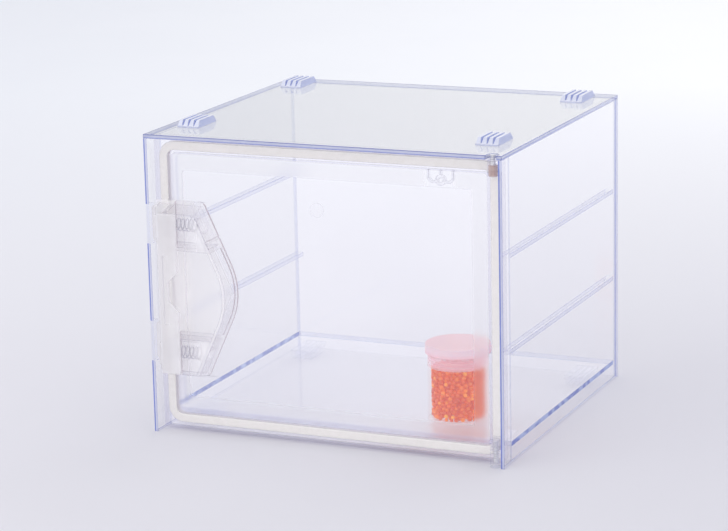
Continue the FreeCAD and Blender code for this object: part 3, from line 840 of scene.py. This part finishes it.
dress_plain(["hinge_bush_top"], bush("bush_amber", rgb(204, 176, 170), rgb(218, 194, 188), 0.6,
                                     rgb(250, 240, 236)))
dress_plain(["hinge_bush_bottom"], bush("bush_grey", rgb(220, 220, 214), rgb(228, 226, 220), 0.1))
dress(["jar_body"], jar_material(), jar_line)
dress_plain(["jar_cap"], cap_material())
dress_plain(["cap_liner"], solid("liner_white", rgb(244, 236, 236), rgb(236, 226, 228), 0.6))

# --- Pieces made here ---------------------------------------------------------------------------

# The seal's faint glow is painted light that lifts the shade in the door's channel.
seal = solid("gasket_cream", rgb(236, 233, 229), rgb(231, 228, 223), 0.5, 260,
             **{"Emission Color": rgb(246, 241, 235), "Emission Strength": 0.09})
piece("gasket_seal", gasket(), seal, "door", "door_gasket")
piece("gel_beads", gel_beads(), gel_material(), "jar", "silica_gel")

spring_metal = metal("spring_steel", rgb(226, 225, 233), 0.35, 0.8)
for level in ("lower", "upper"):
    node = "latch_spring_" + level
    coil = piece("spring_" + level, spring(node), spring_metal, None, node)
    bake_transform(coil)

# --- Floor, light and camera -------------------------------------------------------------------

CAMERA_PLACE = (0.8471, -1.9697, 0.6343)
CAMERA_LENS = 133.8
CAMERA_TURN = math.radians(23.76)
CAMERA_TILT = math.radians(13.51)
CAMERA_ROLL = math.radians(-1.27)

FLOOR_HALF_WIDTH = 9.0
FLOOR_FRONT = -12.0
FLOOR_BACK = 3.5
SWEEP_RADIUS = 2.0
SWEEP_STEPS = 16
WALL_TOP = 6.0


def paper():
    """Matt paper with painted light and shade: graded across the set and paler towards the back,
    with a faint mottle.
    """
    g = Graph("sweep_paper")
    across, along = math.cos(CAMERA_TURN), math.sin(CAMERA_TURN)
    x, y = g.place_along("X"), g.place_along("Y")
    aside = g.math("ADD", g.math("MULTIPLY", x, across), g.math("MULTIPLY", y, along))
    away = g.math("SUBTRACT", g.math("MULTIPLY", y, across), g.math("MULTIPLY", x, along))
    mottle = g.streaks(5, 3, least=-0.04, most=0.04)
    aside = g.math("ADD", g.span(aside, -0.5, 0.45), mottle)
    # Painted shade near the box, darker to the right; painted light far back, paler to the right.
    near = g.blend_colours(aside, rgb(229, 228, 235), rgb(220, 219, 227))
    far = g.blend_colours(aside, rgb(237, 239, 245), rgb(250, 251, 254))
    tone = g.blend_colours(g.span(away, 0.1, 1.5), near, far)
    return g.finish(g.add("ShaderNodeBsdfPrincipled", {"Base Color": tone, "Roughness": 0.9}))


def floor_sheet():
    """A pale studio sweep: a floor that curves up into a wall."""
    line = [(FLOOR_FRONT, 0.0), (FLOOR_BACK, 0.0)]
    for k in range(1, SWEEP_STEPS + 1):
        angle = math.radians(90 * k / SWEEP_STEPS)
        y = FLOOR_BACK + SWEEP_RADIUS * math.sin(angle)
        line.append((y, SWEEP_RADIUS * (1 - math.cos(angle))))
    line.append((FLOOR_BACK + SWEEP_RADIUS, WALL_TOP))
    bm = bmesh.new()
    rows = []
    for y, z in line:
        rows.append([bm.verts.new((x, y, z)) for x in (-FLOOR_HALF_WIDTH, FLOOR_HALF_WIDTH)])
    for a, b in zip(rows, rows[1:]):
        bm.faces.new((a[0], a[1], b[1], b[0]))
    mesh = to_mesh("studio_sweep", bm)
    for polygon in mesh.polygons:
        polygon.use_smooth = True
    mesh.materials.append(paper())
    obj = bpy.data.objects.new("studio_sweep", mesh)
    bpy.context.scene.collection.objects.link(obj)


def softbox(name, place, aim, size, power, colour):
    """A rectangular light at place, turned to aim."""
    light = bpy.data.lights.new(name, "AREA")
    light.shape = "RECTANGLE"
    light.size, light.size_y = size
    light.energy = power
    light.color = colour
    obj = bpy.data.objects.new(name, light)
    obj.location = place
    obj.rotation_mode = "QUATERNION"
    obj.rotation_quaternion = (Vector(aim) - Vector(place)).to_track_quat("-Z", "Y")
    bpy.context.scene.collection.objects.link(obj)


def studio():
    """The floor, an even pale sky and two soft lights."""
    floor_sheet()
    world = bpy.data.worlds.new("studio")
    bpy.context.scene.world = world
    world.use_nodes = True
    back = world.node_tree.nodes["Background"]
    back.inputs["Color"].default_value = (0.985, 0.985, 1.0, 1)
    back.inputs["Strength"].default_value = 0.92
    softbox("key", (-1.2, -1.6, 2.2), (0, 0, 0.1), (1.4, 1.4), 7, (1, 1, 1))
    softbox("rear", (0.6, 2.4, 2.2), (0, 0, 0.1), (2.4, 1.2), 12, (0.97, 0.98, 1))
    bpy.context.scene.view_settings.view_transform = "Standard"


def camera():
    """The photograph's view: a long lens from the front right, a little above the box."""
    data = bpy.data.cameras.new("camera")
    data.lens = CAMERA_LENS
    data.sensor_width = 36
    obj = bpy.data.objects.new("camera", data)
    bpy.context.scene.collection.objects.link(obj)
    flat = math.cos(CAMERA_TILT)
    back = Vector((math.sin(CAMERA_TURN) * flat, -math.cos(CAMERA_TURN) * flat,
                   math.sin(CAMERA_TILT)))
    level = (-back).cross(Vector((0, 0, 1))).normalized()
    up = level.cross(-back)
    right = level * math.cos(CAMERA_ROLL) + up * math.sin(CAMERA_ROLL)
    up = up * math.cos(CAMERA_ROLL) - level * math.sin(CAMERA_ROLL)
    obj.matrix_world = [
        (right.x, right.y, right.z, 0),
        (up.x, up.y, up.z, 0),
        (back.x, back.y, back.z, 0),
        (*CAMERA_PLACE, 1),
    ]
    bpy.context.scene.camera = obj


studio()
camera()
bpy.context.scene.cycles.transparent_max_bounces = 64
